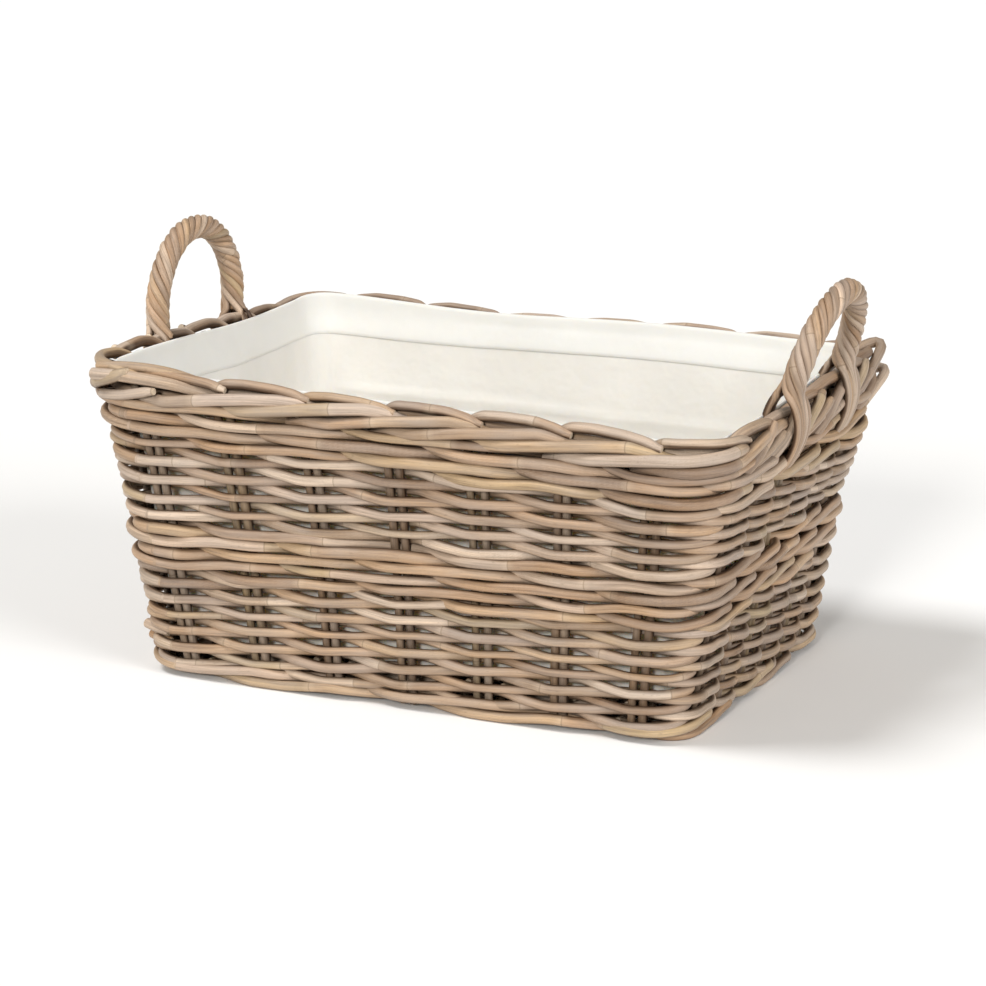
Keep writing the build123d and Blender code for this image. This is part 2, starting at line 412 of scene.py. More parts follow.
# Tones that multiply the colour: painted shade by how free the surface is (dark where a rod lies against its
# neighbours, a little lighter on its open face), then tones along streaks and along bands
CREVICE_SHADE = [
    (0.0, (0.17, 0.125, 0.09)),
    (0.3, (0.47, 0.41, 0.355)),
    (0.62, (0.92, 0.90, 0.88)),
    (0.9, (1.1, 1.1, 1.1)),
]
STREAK_TONES = [(0.3, (0.74, 0.72, 0.70)), (0.52, (1.0, 1.0, 1.0)), (0.75, (1.16, 1.15, 1.12))]
BAND_TONES = [(0.3, (0.68, 0.66, 0.64)), (0.5, (1.0, 1.0, 1.0)), (0.7, (1.2, 1.18, 1.14))]


def rattan(name, shade=1.0, internode=190.0, gloss=0.42):
    """Peeled rattan: streaks along the rod, joints with a fine ring, a new tint past each joint."""
    material, tree, shader = nodes_of(name)
    grain = add_node(tree, "ShaderNodeAttribute", attribute_name="grain").outputs["Vector"]
    tint = add_node(tree, "ShaderNodeAttribute", attribute_name="tint").outputs["Fac"]
    cut = add_node(tree, "ShaderNodeAttribute", attribute_name="cut").outputs["Fac"]
    along = add_node(tree, "ShaderNodeSeparateXYZ", {0: grain}).outputs[2]

    # Joints: the length between them varies a little from rod to rod
    spacing = maths(tree, "MULTIPLY_ADD", tint, 0.5 * internode, 0.75 * internode)
    joints = maths(tree, "DIVIDE", along, spacing)
    number = maths(tree, "FLOOR", joints)
    within = maths(tree, "SUBTRACT", joints, number)
    to_next = maths(tree, "SUBTRACT", 1.0, within)
    from_joint = maths(tree, "MULTIPLY", maths(tree, "MINIMUM", within, to_next), spacing)
    ring = maths(tree, "SUBTRACT", 1.0, maths(tree, "DIVIDE", from_joint, 0.9, clamp=True), clamp=True)
    swell = maths(tree, "SUBTRACT", 1.0, maths(tree, "DIVIDE", from_joint, 7.0, clamp=True), clamp=True)
    seed = add_node(tree, "ShaderNodeCombineXYZ", {0: number, 1: maths(tree, "MULTIPLY", tint, 91.7), 2: 0.0})
    drawn = add_node(tree, "ShaderNodeTexWhiteNoise", {"Vector": seed.outputs[0]}, noise_dimensions="3D")
    shifted = maths(tree, "MULTIPLY_ADD", drawn.outputs[0], 0.42, maths(tree, "MULTIPLY", tint, 0.97))
    colour = ramp(tree, maths(tree, "FRACT", shifted), PALETTE)

    # Streaks and bands along the rod, grey patches, and small dark scuffs
    def grain_noise(across, along_rod, detail=3.0, roughness=0.55):
        scale = (across, across, along_rod)
        scaled = add_node(tree, "ShaderNodeMapping", {"Vector": grain, "Scale": scale}, vector_type="POINT")
        inputs = {"Vector": scaled.outputs[0], "Scale": 1.0, "Detail": detail, "Roughness": roughness}
        return add_node(tree, "ShaderNodeTexNoise", inputs).outputs[0]

    streaks = grain_noise(1.1, 0.03, detail=4.0, roughness=0.6)
    bands = grain_noise(0.34, 0.011)
    patches = grain_noise(0.07, 0.016)
    scuffs = grain_noise(0.55, 0.22, detail=2.0)
    colour = mix(tree, 1.0, colour, ramp(tree, streaks, STREAK_TONES), "MULTIPLY")
    colour = mix(tree, 1.0, colour, ramp(tree, bands, BAND_TONES), "MULTIPLY")
    grey = maths(tree, "MULTIPLY", maths(tree, "SUBTRACT", patches, 0.36), 2.4, clamp=True)
    colour = mix(tree, maths(tree, "MULTIPLY", grey, 0.6), colour, (0.335, 0.283, 0.245, 1.0))
    scuffed = maths(tree, "MULTIPLY", maths(tree, "SUBTRACT", scuffs, 0.62), 6.0, clamp=True)
    colour = mix(tree, maths(tree, "MULTIPLY", scuffed, 0.35), colour, (0.13, 0.09, 0.06, 1.0))
    # Painted shade: the rod is darkened where it lies against its neighbours, blotched along its bands
    free = add_node(tree, "ShaderNodeAttribute", attribute_name="open").outputs["Fac"]
    blotched_shade = maths(tree, "MULTIPLY_ADD", maths(tree, "SUBTRACT", bands, 0.5), 0.7, free, clamp=True)
    colour = mix(tree, 1.0, colour, ramp(tree, blotched_shade, CREVICE_SHADE), "MULTIPLY")
    colour = mix(tree, maths(tree, "MULTIPLY", swell, 0.22), colour, (0.62, 0.50, 0.37, 1.0))
    colour = mix(tree, maths(tree, "MULTIPLY", ring, 0.55), colour, (0.16, 0.105, 0.065, 1.0))
    colour = mix(tree, cut, colour, (0.66, 0.54, 0.40, 1.0))
    if shade != 1.0:
        colour = mix(tree, 1.0, colour, (shade, shade * 0.97, shade * 0.93, 1.0), "MULTIPLY")
    tree.links.new(colour, shader.inputs["Base Color"])

    rough = maths(tree, "MULTIPLY_ADD", streaks, 0.25, gloss - 0.08)
    tree.links.new(rough, shader.inputs["Roughness"])
    shader.inputs["Specular IOR Level"].default_value = 0.42

    fibres = grain_noise(2.6, 0.05)
    height = maths(tree, "MULTIPLY_ADD", swell, 0.5, fibres)
    height = maths(tree, "SUBTRACT", height, maths(tree, "MULTIPLY", ring, 0.8))
    bump = add_node(tree, "ShaderNodeBump", {"Height": height, "Strength": 0.5, "Distance": 0.0005})
    tree.links.new(bump.outputs[0], shader.inputs["Normal"])
    return material


def cotton(name, base=(0.785, 0.755, 0.705), crease=1.0):
    """Plain-woven unbleached cotton: crossed threads, slubs, and soft creases."""
    material, tree, shader = nodes_of(name)
    place = add_node(tree, "ShaderNodeTexCoord").outputs["Object"]
    heights = []
    for axes in ((1400.0, 1400.0, 0.0), (0.0, 0.0, 1500.0)):
        turned = add_node(tree, "ShaderNodeMapping", {"Vector": place, "Scale": axes}, vector_type="POINT")
        inputs = {"Vector": turned.outputs[0], "Scale": 1.0, "Distortion": 0.6}
        wave = add_node(tree, "ShaderNodeTexWave", inputs, bands_direction="DIAGONAL")
        heights.append(wave.outputs["Fac"])
    threads = maths(tree, "MULTIPLY", heights[0], heights[1])
    slubs = add_node(tree, "ShaderNodeTexNoise", {"Vector": place, "Scale": 420.0, "Detail": 2.0}).outputs[0]
    cloud = add_node(tree, "ShaderNodeTexNoise", {"Vector": place, "Scale": 9.0, "Detail": 4.0}).outputs[0]
    folds = add_node(tree, "ShaderNodeTexNoise", {"Vector": place, "Scale": 22.0, "Detail": 3.0}).outputs[0]
    dark = tuple(c * 0.90 for c in base)
    colour = mix(tree, cloud, (*base, 1.0), (*dark, 1.0))
    colour = mix(tree, maths(tree, "MULTIPLY", slubs, 0.18), colour, (0.76, 0.72, 0.64, 1.0))
    tree.links.new(colour, shader.inputs["Base Color"])
    shader.inputs["Roughness"].default_value = 0.92
    shader.inputs["Specular IOR Level"].default_value = 0.15
    shader.inputs["Sheen Weight"].default_value = 0.25
    shader.inputs["Subsurface Weight"].default_value = 0.35
    shader.inputs["Subsurface Radius"].default_value = (1.0, 0.75, 0.5)
    shader.inputs["Subsurface Scale"].default_value = 0.004
    shader.inputs["Sheen Roughness"].default_value = 0.5
    soft = add_node(tree, "ShaderNodeBump", {"Height": folds, "Strength": 0.45 * crease, "Distance": 0.008})
    weave = add_node(
        tree,
        "ShaderNodeBump",
        {"Height": maths(tree, "MULTIPLY_ADD", slubs, 0.5, threads), "Strength": 0.25, "Distance": 0.0004},
    )
    tree.links.new(soft.outputs[0], weave.inputs["Normal"])
    tree.links.new(weave.outputs[0], shader.inputs["Normal"])
    return material


weave_rattan = rattan("weave_rattan")
wale_rattan = rattan("wale_rattan", shade=1.05, internode=230.0)
border_rattan = rattan("border_rattan", shade=1.0, internode=150.0)
handle_materials = {
    "left": rattan("left_handle_rattan", shade=1.15, internode=260.0),
    "right": rattan("right_handle_rattan", shade=0.98, internode=260.0),
}
# shade 0.62 darkens the stakes: painted shade for the recess behind the strands where they stand
stake_rattan = rattan("stake_rattan", shade=0.62)
base_rattan = rattan("base_rattan", shade=0.8)
liner_cotton = cotton("liner_cotton")
hem_cotton = cotton("hem_cotton", base=(0.825, 0.798, 0.745), crease=0.6)

SIDES = ("front", "right", "back", "left")


def dress(piece, slot, body, *nodes):
    """Puts a piece on its body and hides the frame's plain nodes it stands for; slot is not used."""
    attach(piece, body)
    if nodes:
        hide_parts(*nodes)


def side_nodes(kind):
    return [f"{side}_{kind}" for side in SIDES]


# ---------------------------------------------------------------- stakes


def make_stakes():
    stakes = Strands()
    for station in STATIONS:
        for place in (-0.5, 0.5):
            heights = np.linspace(STAKE_LOW, STAKE_HIGH, 24)
            lean = rng.uniform(-1.2, 1.2) + rng.uniform(-1.5, 1.5) * heights / RIM_HEIGHT
            ways = station + place * STAKE_SPACING + lean
            path = warp(outline(ways, rng.uniform(-0.3, 0.3), heights))
            outwards = outline(ways, 1.0, heights) - outline(ways, 0.0, heights)
            stakes.add(path, STAKE_RADIUS * rng.uniform(0.94, 1.16), facing=outwards)
    return stakes.build("stakes", stake_rattan)


# ---------------------------------------------------------------- woven bands

SHORT_GAP = 60.0  # pairs nearer than this are on the short sides
LONG_PITCH = 85.0  # the distance between pairs that the border rods' runs are written for
# Rods that run right round inside the border: distance outside the stake layer, height, radius
INNER_RINGS = [(-5.0, 262.0, 4.6), (-5.4, 252.5, 4.3)]

# How a field strand moves from one stake pair to the next: its side of the stakes (1 in front,
# -1 behind) and its rise above its own level, when it comes out to the front and when it goes in
FIELD_SHARES = [0.0, 0.15, 0.3, 0.45, 0.6, 0.75, 0.88, 1.0]
OUT_SIDE = [-1.0, -0.85, -0.1, 0.6, 0.95, 1.0, 1.0, 1.0]
IN_SIDE = [1.0, 1.0, 1.0, 0.9, 0.55, -0.1, -0.8, -1.0]
OUT_RISE = [0.0, 1.8, 2.8, 2.4, 1.3, 0.0, -1.5, -1.1]
IN_RISE = [-1.1, 0.0, 1.0, 1.8, 2.4, 2.1, 1.0, 0.0]
# On the short sides, where the pairs are close, a strand drops more as it passes in front
SHORT_OUT_RISE = [0.0, 3.0, 4.6, 4.4, 3.2, 1.6, 0.4, -0.8]
SHORT_IN_RISE = [-0.8, -2.0, -3.0, -3.6, -3.2, -2.2, -1.0, 0.0]


def moved(share, going_in, outgoing, ingoing):
    """A strand's side or rise at a share of the way to the next pair."""
    inwards = np.interp(share, FIELD_SHARES, ingoing)
    outwards = np.interp(share, FIELD_SHARES, outgoing)
    return np.where(going_in, inwards, outwards)


def pieced(ways, hidden):
    """A tint and a thickness for each rod pieced into a row, changing behind a stake pair."""
    joins = [station for station, state in zip(STATIONS, hidden) if state and rng.random() < 0.42]
    joins = sorted(joins) or [STATIONS[0]]
    piece = np.searchsorted(joins, ways) % len(joins)
    tints = np.array([rng.random() for _ in joins])[piece]
    sizes = np.array([rng.uniform(0.86, 1.16) for _ in joins])[piece]
    return tints, rounded(rounded(sizes))


def rounded(values):
    """The same values round the loop, with their corners eased."""
    return (np.roll(values, 1) + 2 * values + np.roll(values, -1)) / 4


def make_field(name, band):
    """Randing: each strand passes in front of one stake pair and behind the next."""
    low, pitch, count, radius = band
    strands = Strands()
    ways = np.arange(0, LOOP, STEP)
    depth = STAKE_RADIUS + radius
    pairs = np.arange(len(STATIONS))
    for strand in range(count):
        front = np.where((pairs + strand) % 2 == 0, 1.0, -1.0)
        before, share, gap = gap_shares(ways)
        going_in = front[before] > 0
        side = rounded(moved(share, going_in, OUT_SIDE, IN_SIDE))
        long_rise = moved(share, going_in, OUT_RISE, IN_RISE)
        short_rise = moved(share, going_in, SHORT_OUT_RISE, SHORT_IN_RISE)
        rise = rounded(np.where(gap < SHORT_GAP, short_rise, long_rise))
        jitter = passing(ways, np.array([rng.uniform(-0.9, 0.9) for _ in pairs]), flat=0.0)
        seed = strand * 7 + int(low)
        height = low + pitch * strand + rise + jitter + wobble(ways, 0.5, seed)
        tints, sizes = pieced(ways, front < 0)
        size = radius * rng.uniform(0.95, 1.03) * sizes
        offset = (depth - radius + size) * side + wobble(ways, 0.3, seed + 1)
        path = warp(outline(ways, offset, height))
        flatten = 1 + 0.1 * (1 - side) + 0.08 * (1 - side**2)
        strands.add(path, size, closed=True, upright=True, flatten=flatten, tint=tints)
    return strands.build(name, weave_rattan)


# Cut ends of base rods that show at the front left corner of the foot, and their radii
FOOT_ENDS = [
    ([(-257, -163, 41), (-247, -168, 40), (-232, -169, 38)], 4.6),
    ([(-254, -160, 31), (-246, -165, 30), (-232, -166, 28)], 4.2),
]


def make_wale(name, band, climb=2.2, bulge=1.0, uneven=0.8, ends=()):
    """Waling: each strand passes in front of two stake pairs and behind the next."""
    low, pitch, count, radius = band
    strands = Strands()
    ways = np.arange(0, LOOP, STEP)
    depth = STAKE_RADIUS + radius
    pairs = np.arange(len(STATIONS))
    for strand in range(count):
        phase = (pairs + strand) % 3
        front = np.where(phase == 0, -1.0, 1.0)
        lift = np.choose(phase, [0.0, -climb, climb])
        side = passing(ways, front, flat=4.0)
        seed = strand * 5 + int(low)
        jitter = passing(ways, np.array([rng.uniform(-1.0, 1.0) for _ in pairs]), flat=0.0)
        height = low + pitch * strand + passing(ways, lift, flat=0.0) + jitter + wobble(ways, uneven, seed)
        tints, sizes = pieced(ways, front < 0)
        size = radius * rng.uniform(0.92, 1.06) * sizes
        offset = depth * side + bulge + wobble(ways, 0.6, seed + 1)
        path = warp(outline(ways, offset, height))
        path[:, 2] = np.maximum(path[:, 2], size)
        strands.add(path, size, closed=True, upright=True, tint=tints)
    for points, end_radius in ends:
        strands.add(resample(np.array(points, float), 4.0), end_radius)
    return strands.build(name, wale_rattan)


# ---------------------------------------------------------------- border

OUTER_RADIUS, TOP_RADIUS = 5.2, 4.7
# Border rods, from their stake pair: way, distance outside the stake layer, height
OUTER_RUN = [
    (-18, -3, 243),
    (5, 5, 248),
    (30, 10.5, 249.5),
    (85, 11.0, 257),
    (120, 10.0, 261.5),
    (150, 8.5, 264),
    (170, 6.5, 262.5),
    (188, 1.5, 258),
]
# On the short sides: steep rods, and flatter ones between them, both with their cut ends showing
STEEP_RUN = [(-14, -3, 230), (0, 6, 236), (30, 10.5, 247), (62, 11.5, 262), (78, 9.5, 271)]
FLAT_RUN = [(22, -2, 238), (38, 7, 243), (66, 12.0, 250), (104, 13.0, 259)]
TOP_RUN = [
    (-12, -8, 256),
    (-3, -4.5, 265),
    (8, 0.0, 270.5),
    (30, 2.0, 272),
    (60, 3.5, 271.5),
    (80, 4.5, 269),
    (93, 5.5, 265),
]

# Middle lines of the cut and folded ends at two corners, and their radii
CORNER_ENDS = [
    (
        [(-278, -209, 273), (-253, -210, 274), (-227, -210, 273), (-192, -208, 270), (-160, -202, 262)],
        5.2,
    ),
    (
        [(-276, -203, 279), (-248, -204, 281.5), (-223, -204, 281.5), (-199, -203, 279), (-178, -203, 274)],
        4.0,
    ),
    (
        [
            (287, 132, 228),
            (294, 158, 252),
            (299, 180, 272),
            (299, 190, 278),
            (295, 194, 279),
            (288, 188, 277),
            (276, 168, 271),
        ],
        4.8,
    ),
    (
        [
            (290, 158, 226),
            (297, 180, 241),
            (301, 196, 251),
            (299, 203, 254),
            (293, 203, 253),
            (283, 195, 250),
        ],
        4.5,
    ),
    (
        [(288, 146, 240), (292, 156, 258), (292, 163, 272), (286, 166, 274), (277, 160, 268)],
        4.4,
    ),
]


def make_border():
    """Rods laid down to the right outside the wall, and short ones over the top between the pairs."""
    border = Strands()
    for index, station in enumerate(STATIONS):
        following = STATIONS[(index + 1) % len(STATIONS)]
        stretch = ((following - station) % LOOP) / LONG_PITCH
        on_short_side = index % (LONG_PAIRS + SHORT_PAIRS) >= LONG_PAIRS
        outer_runs = [(OUTER_RUN, OUTER_RADIUS)]
        if on_short_side:
            outer_runs = [(STEEP_RUN, OUTER_RADIUS), (FLAT_RUN, 0.9 * OUTER_RADIUS)]
        for run, radius in (*outer_runs, (TOP_RUN, TOP_RADIUS)):
            lift = rng.uniform(-1.3, 1.3)
            controls = [
                (station + way * stretch, offset, height + lift + rng.uniform(-0.8, 0.8))
                for way, offset, height in run
            ]
            ways, offsets, heights = smooth_run(controls, spread=9.0)
            path = warp(outline(ways, offsets, heights))
            outwards = outline(ways, 1.0, heights) - outline(ways, 0.0, heights)
            facing = outwards + (0, 0, 2.5) if run is TOP_RUN else outwards + (0, 0, 0.4)
            end_taper = 1 - 0.3 * eased(np.linspace(0, 1, len(path)), 0.88, 1.0)
            border.add(path, radius * rng.uniform(0.88, 1.1) * end_taper, facing=facing)
    ways = np.arange(0, LOOP, STEP)
    for offset, height, radius in INNER_RINGS:
        drift = wobble(ways, 0.8, int(height))
        ring = warp(outline(ways, offset + drift, height + drift))
        border.add(ring, radius, closed=True, upright=True, tint=0.5 + 0.45 * np.sin(ways / 90.0 + height))
    add_corner_ends(border)
    return border.build("border", border_rattan)


def add_corner_ends(border):
    """Cut ends left standing out at two corners."""
    for points, radius in CORNER_ENDS:
        border.add(resample(np.array(points, float), 5.0), radius)


# ---------------------------------------------------------------- handles

HANDLE_STRANDS = 7
ROPE_STRAND_RADIUS = 3.1
ROPE_STRAND_WIDTH = 1.12  # a strand's width as a share of its thickness
ROPE_RADIUS = 8.4  # from the rope's middle to a strand's middle
ROPE_PITCH = 71.0
ROPE_FOOT = 280.0  # height where the rope ends and its strands go down over the border
CORE_OVERLAP = 1.0  # how far the core reaches into the strands wound round it
# Each handle: end of the basket, middle of its legs, half the distance between them, height of
# the middle line at the top, distance out at the foot, and its lean outwards
HANDLES = {
    "left": (-1, 2.0, 68.0, 366.0, 297.0, 0.0),
    "right": (1, 12.0, 65.0, 355.0, 297.0, 0.30),
}
# A strand's end below the rope: distance outside the stake layer, drift along the side, height, and
# the spread of its bundle
OUTER_TAIL = [
    (15.0, 2.0, 274, 1.1),
    (18.5, 5.0, 264, 1.05),
    (20.5, 9.0, 253, 0.95),
    (20.0, 13.0, 241, 0.85),
    (17.5, 15.0, 229, 0.75),
    (13.5, 15.0, 218, 0.65),
    (8.0, 13.0, 209, 0.6),
]
INNER_TAIL = [(-6.0, 0.0, 274, 1.1), (-8.5, 0.0, 264, 1.3), (-9.0, 0.0, 252, 1.4)]
TAIL_SPACING = 6.3


def slope_out(height):
    """Where the stake layer stands on the short sides."""
    return between(BASE_HALF_LENGTH, RIM_HALF_LENGTH, height / RIM_HEIGHT)


def bow_line(half_span, top, step=3.0):
    """The handle's middle line from one foot to the other: (across, height)."""
    shoulder = top - half_span
    legs = np.arange(ROPE_FOOT, shoulder, step)
    turns = np.linspace(math.pi, 0, int(math.pi * half_span / step))
    across = [np.full(len(legs), -half_span), half_span * np.cos(turns), np.full(len(legs), half_span)]
    height = [legs, shoulder + half_span * np.sin(turns), legs[::-1]]
    return np.concatenate(across), np.concatenate(height)


def make_handle(name, material, end, middle_y, half_span, top, foot_x, lean):
    """Strands laid round a core bow, then down over the border at both feet."""
    rope = Strands()
    across, height = bow_line(half_span, top)
    outwards = foot_x + lean * (height - ROPE_FOOT)
    middle = np.stack([end * outwards, middle_y + across * end, height], axis=1)
    tangents = np.gradient(middle, axis=0)
    tangents /= np.linalg.norm(tangents, axis=1)[:, None]
    lengths = np.concatenate([[0], np.cumsum(np.linalg.norm(np.diff(middle, axis=0), axis=1))])
    outward = np.array([end, 0, -lean * end])
    outward = outward / np.linalg.norm(outward)
    sideways = np.cross(tangents, outward)
    rope.add(middle, ROPE_RADIUS - ROPE_STRAND_RADIUS + CORE_OVERLAP)
    wound, free_sides = [], []
    for strand in range(HANDLE_STRANDS):
        angle = 2 * math.pi * strand / HANDLE_STRANDS - 2 * math.pi * lengths / ROPE_PITCH
        swell = ROPE_RADIUS * (1 + 0.03 * np.sin(lengths / 17.0 + strand * 2.1))
        around = outward * np.cos(angle)[:, None] + sideways * np.sin(angle)[:, None]
        wound.append(middle + around * swell[:, None])
        free_sides.append(around)
    heads = make_tails([path[0] for path in wound], middle[0], end)
    feet = make_tails([path[-1] for path in wound], middle[-1], end)
    side_out = np.array([end, 0.0, 0.0])
    for head, path, foot, free in zip(heads, wound, feet, free_sides):
        facing = np.concatenate([np.tile(side_out, (len(head), 1)), free, np.tile(side_out, (len(foot), 1))])
        line = np.concatenate([head[::-1], path, foot])
        line = resample(np.hstack([line, facing]), 4.0)
        thickness = ROPE_STRAND_RADIUS * rng.uniform(0.92, 1.08)
        rope.add(line[:, :3], thickness, facing=line[:, 3:], flatten=ROPE_STRAND_WIDTH)
    return rope.build(name, material)


def make_tails(starts, leg, end):
    """Where the strands go below the rope: most side by side over the border, the rest inside it."""
    order = sorted(range(len(starts)), key=lambda index: -end * starts[index][0])
    outside = sorted(order[: len(starts) - 2], key=lambda index: starts[index][1])
    tails = [None] * len(starts)
    for index in range(len(starts)):
        if index in outside:
            slot = outside.index(index) - (len(outside) - 1) / 2
            run = OUTER_TAIL
        else:
            slot = 0.6 if starts[index][1] > leg[1] else -0.6
            run = INNER_TAIL
        tails[index] = np.array(
            [
                (end * (slope_out(height) + offset), leg[1] + drift + slot * TAIL_SPACING * spread, height)
                for offset, drift, height, spread in run
            ]
        )
    return tails


def resample(path, step):
    """The same path, and any values carried after its three coordinates, rounded and with even steps."""
    for _ in range(3):
        steps = np.linalg.norm(np.diff(path[:, :3], axis=0), axis=1)
        lengths = np.concatenate([[0], np.cumsum(steps)])
        even = np.linspace(0, lengths[-1], max(4, int(lengths[-1] / step)))
        path = np.stack([np.interp(even, lengths, column) for column in path.T], axis=1)
        inner = (path[:-2] + 2 * path[1:-1] + path[2:]) / 4
        path = np.concatenate([path[:1], inner, path[-1:]])
    return path


# ---------------------------------------------------------------- base

HOOP_RADIUS, HOOP_CORNER = 5.2, 18.0
STICK_COUNT, STICK_RADIUS = 7, 4.5
CANE_PITCH, CANE_RADIUS, CANE_SWING = 8.1, 3.3, 7.6
CANE_REACH, CANES_EACH_WAY = 148.0, 25


def box_of(name):
    """Opposite corners of a frame node's box, in millimetres."""
    low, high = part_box(name)
    return np.array(low) / MM, np.array(high) / MM


def make_base_hoop():
    """The closed hoop that the basket stands on."""
    _, high = box_of("base_hoop")
    turns = np.linspace(0, math.pi / 2, 8)
    corners = []
    for quarter, (sign_x, sign_y) in enumerate(((1, 1), (-1, 1), (-1, -1), (1, -1))):
        angles = turns + quarter * math.pi / 2
        x = sign_x * (high[0] - HOOP_RADIUS - HOOP_CORNER) + HOOP_CORNER * np.cos(angles)
        y = sign_y * (high[1] - HOOP_RADIUS - HOOP_CORNER) + HOOP_CORNER * np.sin(angles)
        corners.append(np.stack([x, y, np.full(len(turns), HOOP_RADIUS)], axis=1))
    hoop = Strands()
    hoop.add(np.concatenate(corners), HOOP_RADIUS, closed=True, upright=True)
    return hoop.build("base_hoop_rod", base_rattan)


def make_base_sticks():
    """Thick sticks along the base, on the hoop."""
    low, high = box_of("base_sticks")
    sticks = Strands()
    x = np.arange(low[0], high[0] + STEP, STEP)
    for y in np.linspace(low[1] + STICK_RADIUS, high[1] - STICK_RADIUS, STICK_COUNT):
        path = np.stack([x, y + 0.8 * np.sin(x / 60.0 + y), np.full(len(x), (low[2] + high[2]) / 2)], axis=1)
        sticks.add(path, STICK_RADIUS * rng.uniform(0.93, 1.05))
    return sticks.build("base_stick_rods", base_rattan)


def make_base_canes():
    """Canes across the base, passing over and under the sticks in turn."""
    low, high = box_of("base_sticks")
    canes = Strands()
    between_sticks = (high[1] - STICK_RADIUS) / ((STICK_COUNT - 1) / 2)
    y = np.arange(-CANE_REACH, CANE_REACH, STEP)
    for row in range(-CANES_EACH_WAY, CANES_EACH_WAY + 1):
        swing = np.cos(math.pi * y / between_sticks) * (1 if row % 2 else -1)
        height = (low[2] + high[2]) / 2 + CANE_SWING * np.clip(swing * 1.4, -1, 1)
        canes.add(np.stack([np.full_like(y, row * CANE_PITCH), y, height], axis=1), CANE_RADIUS)
    return canes.build("base_canes", base_rattan)


# ---------------------------------------------------------------- liner

LINER_OFFSET = -14.4  # from the stake layer
LINER_TOP = 268.5
LINER_BACK_RISE = 5.5
LINER_FLOOR = 29.5
LINER_FLARE = 3.6  # how far the top edge leans out over the border's inner rods
FLARE_HEIGHTS = (240, 266)
FLOOR_REACHES = (0.5, 0.75, 0.9, 0.97)  # the floor's rings, as shares of its outline
LINER_ROWS = 60
HEM_DEPTH = 34.0
CREASE_HEIGHT = 188.0
CLOTH, HEM_CLOTH = 1.3, 0.9
CLOTH_STEP = 7.0


def sheet_mesh(name, grid, capped, material):
    """A mesh from rows of points, each row a closed loop. capped fills the first row with one face."""
    rows, columns = grid.shape[:2]
    faces = []
    for row in range(rows - 1):
        here, above = row * columns, (row + 1) * columns
        for column in range(columns):
            beside = (column + 1) % columns
            faces.append((here + column, here + beside, above + beside, above + column))
    if capped:
        faces.append(tuple(reversed(range(columns))))
    mesh = bpy.data.meshes.new(name)
    mesh.from_pydata((grid.reshape(-1, 3) * MM).tolist(), [], faces)
    for polygon in mesh.polygons:
        polygon.use_smooth = True
    mesh.materials.append(material)
    piece = bpy.data.objects.new(name, mesh)
    bpy.context.scene.collection.objects.link(piece)
    return piece


def thicken(piece, depth):
    """Gives a sheet its thickness, half on each side."""
    modifier = piece.modifiers.new("cloth", "SOLIDIFY")
    modifier.thickness = depth * MM
    modifier.offset = 0
    bpy.context.view_layer.objects.active = piece
    with bpy.context.temp_override(object=piece, active_object=piece, selected_objects=[piece]):
        bpy.ops.object.modifier_apply(modifier=modifier.name)


def slack(ways, height):
    """How far the cloth stands in from the wall: soft hollows, a crease, and corner tucks."""
    rise = (height - LINER_FLOOR) / (LINER_TOP - LINER_FLOOR)
    loose = 4 * rise * (1 - rise)
    folds = 2.4 * np.sin(ways / 41.0 + 2.2 * rise) + 1.6 * np.sin(ways / 23.0 - 3.1 * rise + 1.0)
    folds += 1.0 * np.sin(ways / 13.0 + 5.0 * rise)
    crease = 2.4 * np.exp(-(((height - CREASE_HEIGHT - 2.5 * np.sin(ways / 90.0)) / 3.0) ** 2))
    corners = [(STARTS[stretch] + STARTS[stretch + 1]) / 2 for stretch in (1, 3, 5, 7)]
    tuck = sum(1.8 * np.exp(-(((ways - corner) / 6.0) ** 2)) for corner in corners)
    return loose * (3.2 + folds) + crease + tuck * eased(height, LINER_TOP, LINER_TOP - 40)


def liner_rim(ways):
    """Height of the liner's top edge: the back is pulled up a little."""
    return LINER_TOP + LINER_BACK_RISE * eased(outline(ways, 0.0, LINER_TOP)[:, 1], 0, RIM_HALF_WIDTH)


def liner_offset(height):
    """Where the liner stands before its slack: it leans out at the top edge."""
    return LINER_OFFSET + LINER_FLARE * eased(height, *FLARE_HEIGHTS)


def make_liner():
    """Floor and walls in one sheet, from the middle of the floor to the top edge."""
    ways = np.arange(0, LOOP, CLOTH_STEP)
    rows = []
    floor_edge = outline(ways, LINER_OFFSET - 1.5, LINER_FLOOR)
    for reach in FLOOR_REACHES:
        rows.append(floor_edge * [reach, reach, 1])
    for share in np.linspace(0, 1, LINER_ROWS):
        height = between(LINER_FLOOR + 1.5, liner_rim(ways), share)
        inset = liner_offset(height) - slack(ways, height)
        rows.append(warp(outline(ways, inset, height)))
    liner = sheet_mesh("liner_body", np.array(rows), True, liner_cotton)
    thicken(liner, CLOTH)
    return liner


def make_hem():
    """The facing turned down inside the mouth, with its rolled top edge."""
    ways = np.arange(0, LOOP, CLOTH_STEP)
    profile = [(0.9, -9.0), (1.2, -2.0), (0.9, 0.6), (0.0, 1.4), (-0.9, 0.7), (-1.3, -1.5)]
    profile += [(-1.45, -drop) for drop in np.linspace(5, HEM_DEPTH - 4, 12)]
    profile += [(-1.3, -(HEM_DEPTH - 1.5)), (0.1, -HEM_DEPTH)]
    rows = []
    for out, drop in profile:
        height = liner_rim(ways) + drop + 0.7 * np.sin(ways / 50.0)
        inset = liner_offset(height) + out - np.where(drop < -3, slack(ways, height), 0.0)
        rows.append(warp(outline(ways, inset, height)))
    hem = sheet_mesh("liner_facing", np.array(rows), False, hem_cotton)
    thicken(hem, HEM_CLOTH)
    return hem


# ---------------------------------------------------------------- assembling the basket

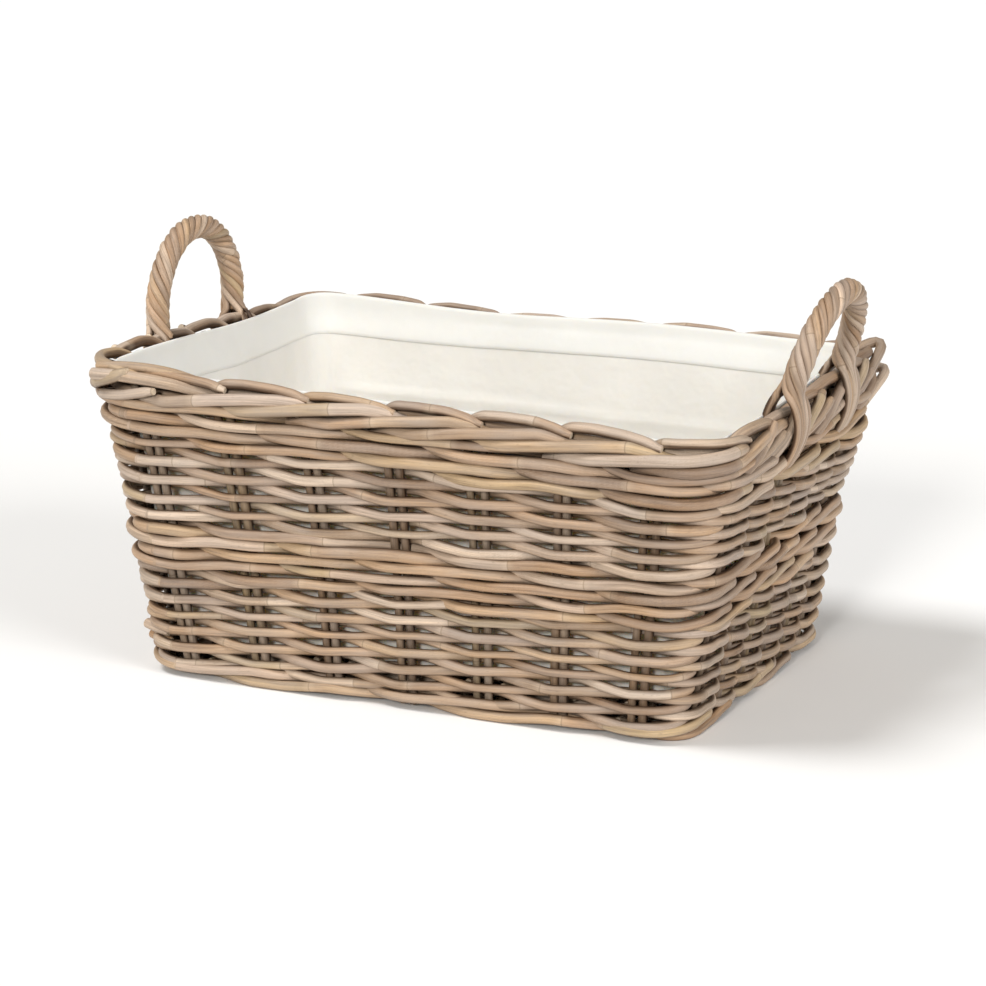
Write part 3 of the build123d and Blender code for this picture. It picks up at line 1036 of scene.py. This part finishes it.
dress(make_base_hoop(), "base_rattan", "basket", "base_hoop")
dress(make_base_sticks(), "base_rattan", "basket", "base_sticks")
dress(make_stakes(), "stake_rattan", "basket", *side_nodes("stakes"))
foot_wale = make_wale("foot_wale", FOOT_WALE, climb=2.6, bulge=0.8, uneven=0.7, ends=FOOT_ENDS)
dress(foot_wale, "wale_rattan", "basket", *side_nodes("foot_wale"))
dress(make_field("lower_field", LOWER_FIELD), "weave_rattan", "basket", *side_nodes("lower_weave"))
dress(make_wale("middle_wale", MIDDLE_WALE), "wale_rattan", "basket", *side_nodes("middle_wale"))
dress(make_field("upper_field", UPPER_FIELD), "weave_rattan", "basket", *side_nodes("upper_weave"))
dress(make_wale("upper_wale", UPPER_WALE), "wale_rattan", "basket", *side_nodes("upper_wale"))
dress(make_border(), "border_rattan", "basket", *side_nodes("border"))
for label, shape in HANDLES.items():
    rope = make_handle(f"{label}_handle_rope", handle_materials[label], *shape)
    handle_nodes = [f"{label}_handle_{part}" for part in ("bow", "wrap", "tails")]
    dress(rope, "handle_rattan", "basket", *handle_nodes)
dress(make_base_canes(), "base_rattan", "basket", "base_lower_canes", "base_upper_canes")

liner = make_liner()
hem = make_hem()
dress(liner, "liner_cotton", "liner", "liner_floor", *(f"liner_{side}_panel" for side in SIDES))
dress(hem, "liner_hem", "liner", "liner_hem")

# ---------------------------------------------------------------- floor, light and camera

FLOOR_HALF_SIZE = 30.0  # metres


def make_floor():
    """A plain pale floor, far wider than the view."""
    mesh = bpy.data.meshes.new("floor")
    half = FLOOR_HALF_SIZE
    corners = [(-half, -half, 0), (half, -half, 0), (half, half, 0), (-half, half, 0)]
    mesh.from_pydata(corners, [], [(0, 1, 2, 3)])
    material, _, shader = nodes_of("floor_white")
    shader.inputs["Base Color"].default_value = (0.93, 0.93, 0.925, 1.0)
    shader.inputs["Roughness"].default_value = 0.9
    shader.inputs["Specular IOR Level"].default_value = 0.1
    mesh.materials.append(material)
    floor = bpy.data.objects.new("floor", mesh)
    bpy.context.scene.collection.objects.link(floor)


def add_sun(name, towards, power, spread, colour=(1, 1, 1)):
    """Soft light from a wide softbox far away, shining from the given direction."""
    data = bpy.data.lights.new(name, "SUN")
    data.energy = power
    data.angle = math.radians(spread)
    data.color = colour
    light = bpy.data.objects.new(name, data)
    light.rotation_euler = Vector(towards).to_track_quat("Z", "Y").to_euler()
    bpy.context.scene.collection.objects.link(light)


def make_lights():
    world = bpy.data.worlds.new("studio")
    world.use_nodes = True
    world.node_tree.nodes["Background"].inputs[0].default_value = (1.0, 0.955, 0.89, 1.0)
    world.node_tree.nodes["Background"].inputs[1].default_value = 0.26
    bpy.context.scene.world = world
    add_sun("key", (0.1, -1.0, 0.42), 1.7, 12, (1.0, 0.985, 0.96))
    add_sun("side", (1.0, -0.3, 0.45), 1.6, 30)
    add_sun("top", (-0.5, -0.3, 1.0), 1.75, 22)


def make_camera():
    """At the photograph's viewing angle: to the right of the front, and a little above."""
    azimuth, elevation, roll = math.radians(24.59), math.radians(14.36), math.radians(0.2)
    place = Vector((1.1456, -2.4969, 0.8530))
    level = math.cos(elevation)
    back = Vector((math.sin(azimuth) * level, -math.cos(azimuth) * level, math.sin(elevation)))
    data = bpy.data.cameras.new("camera")
    data.sensor_width = 36.0
    data.lens = 116.8
    data.clip_start, data.clip_end = 0.1, 100.0
    camera = bpy.data.objects.new("camera", data)
    turn = (-back).to_track_quat("-Z", "Y").to_matrix().to_4x4() @ Matrix.Rotation(roll, 4, "Z")
    camera.matrix_world = Matrix.Translation(place) @ turn
    bpy.context.scene.collection.objects.link(camera)
    bpy.context.scene.camera = camera


make_floor()
make_lights()
make_camera()
bpy.context.scene.view_settings.view_transform = "Standard"
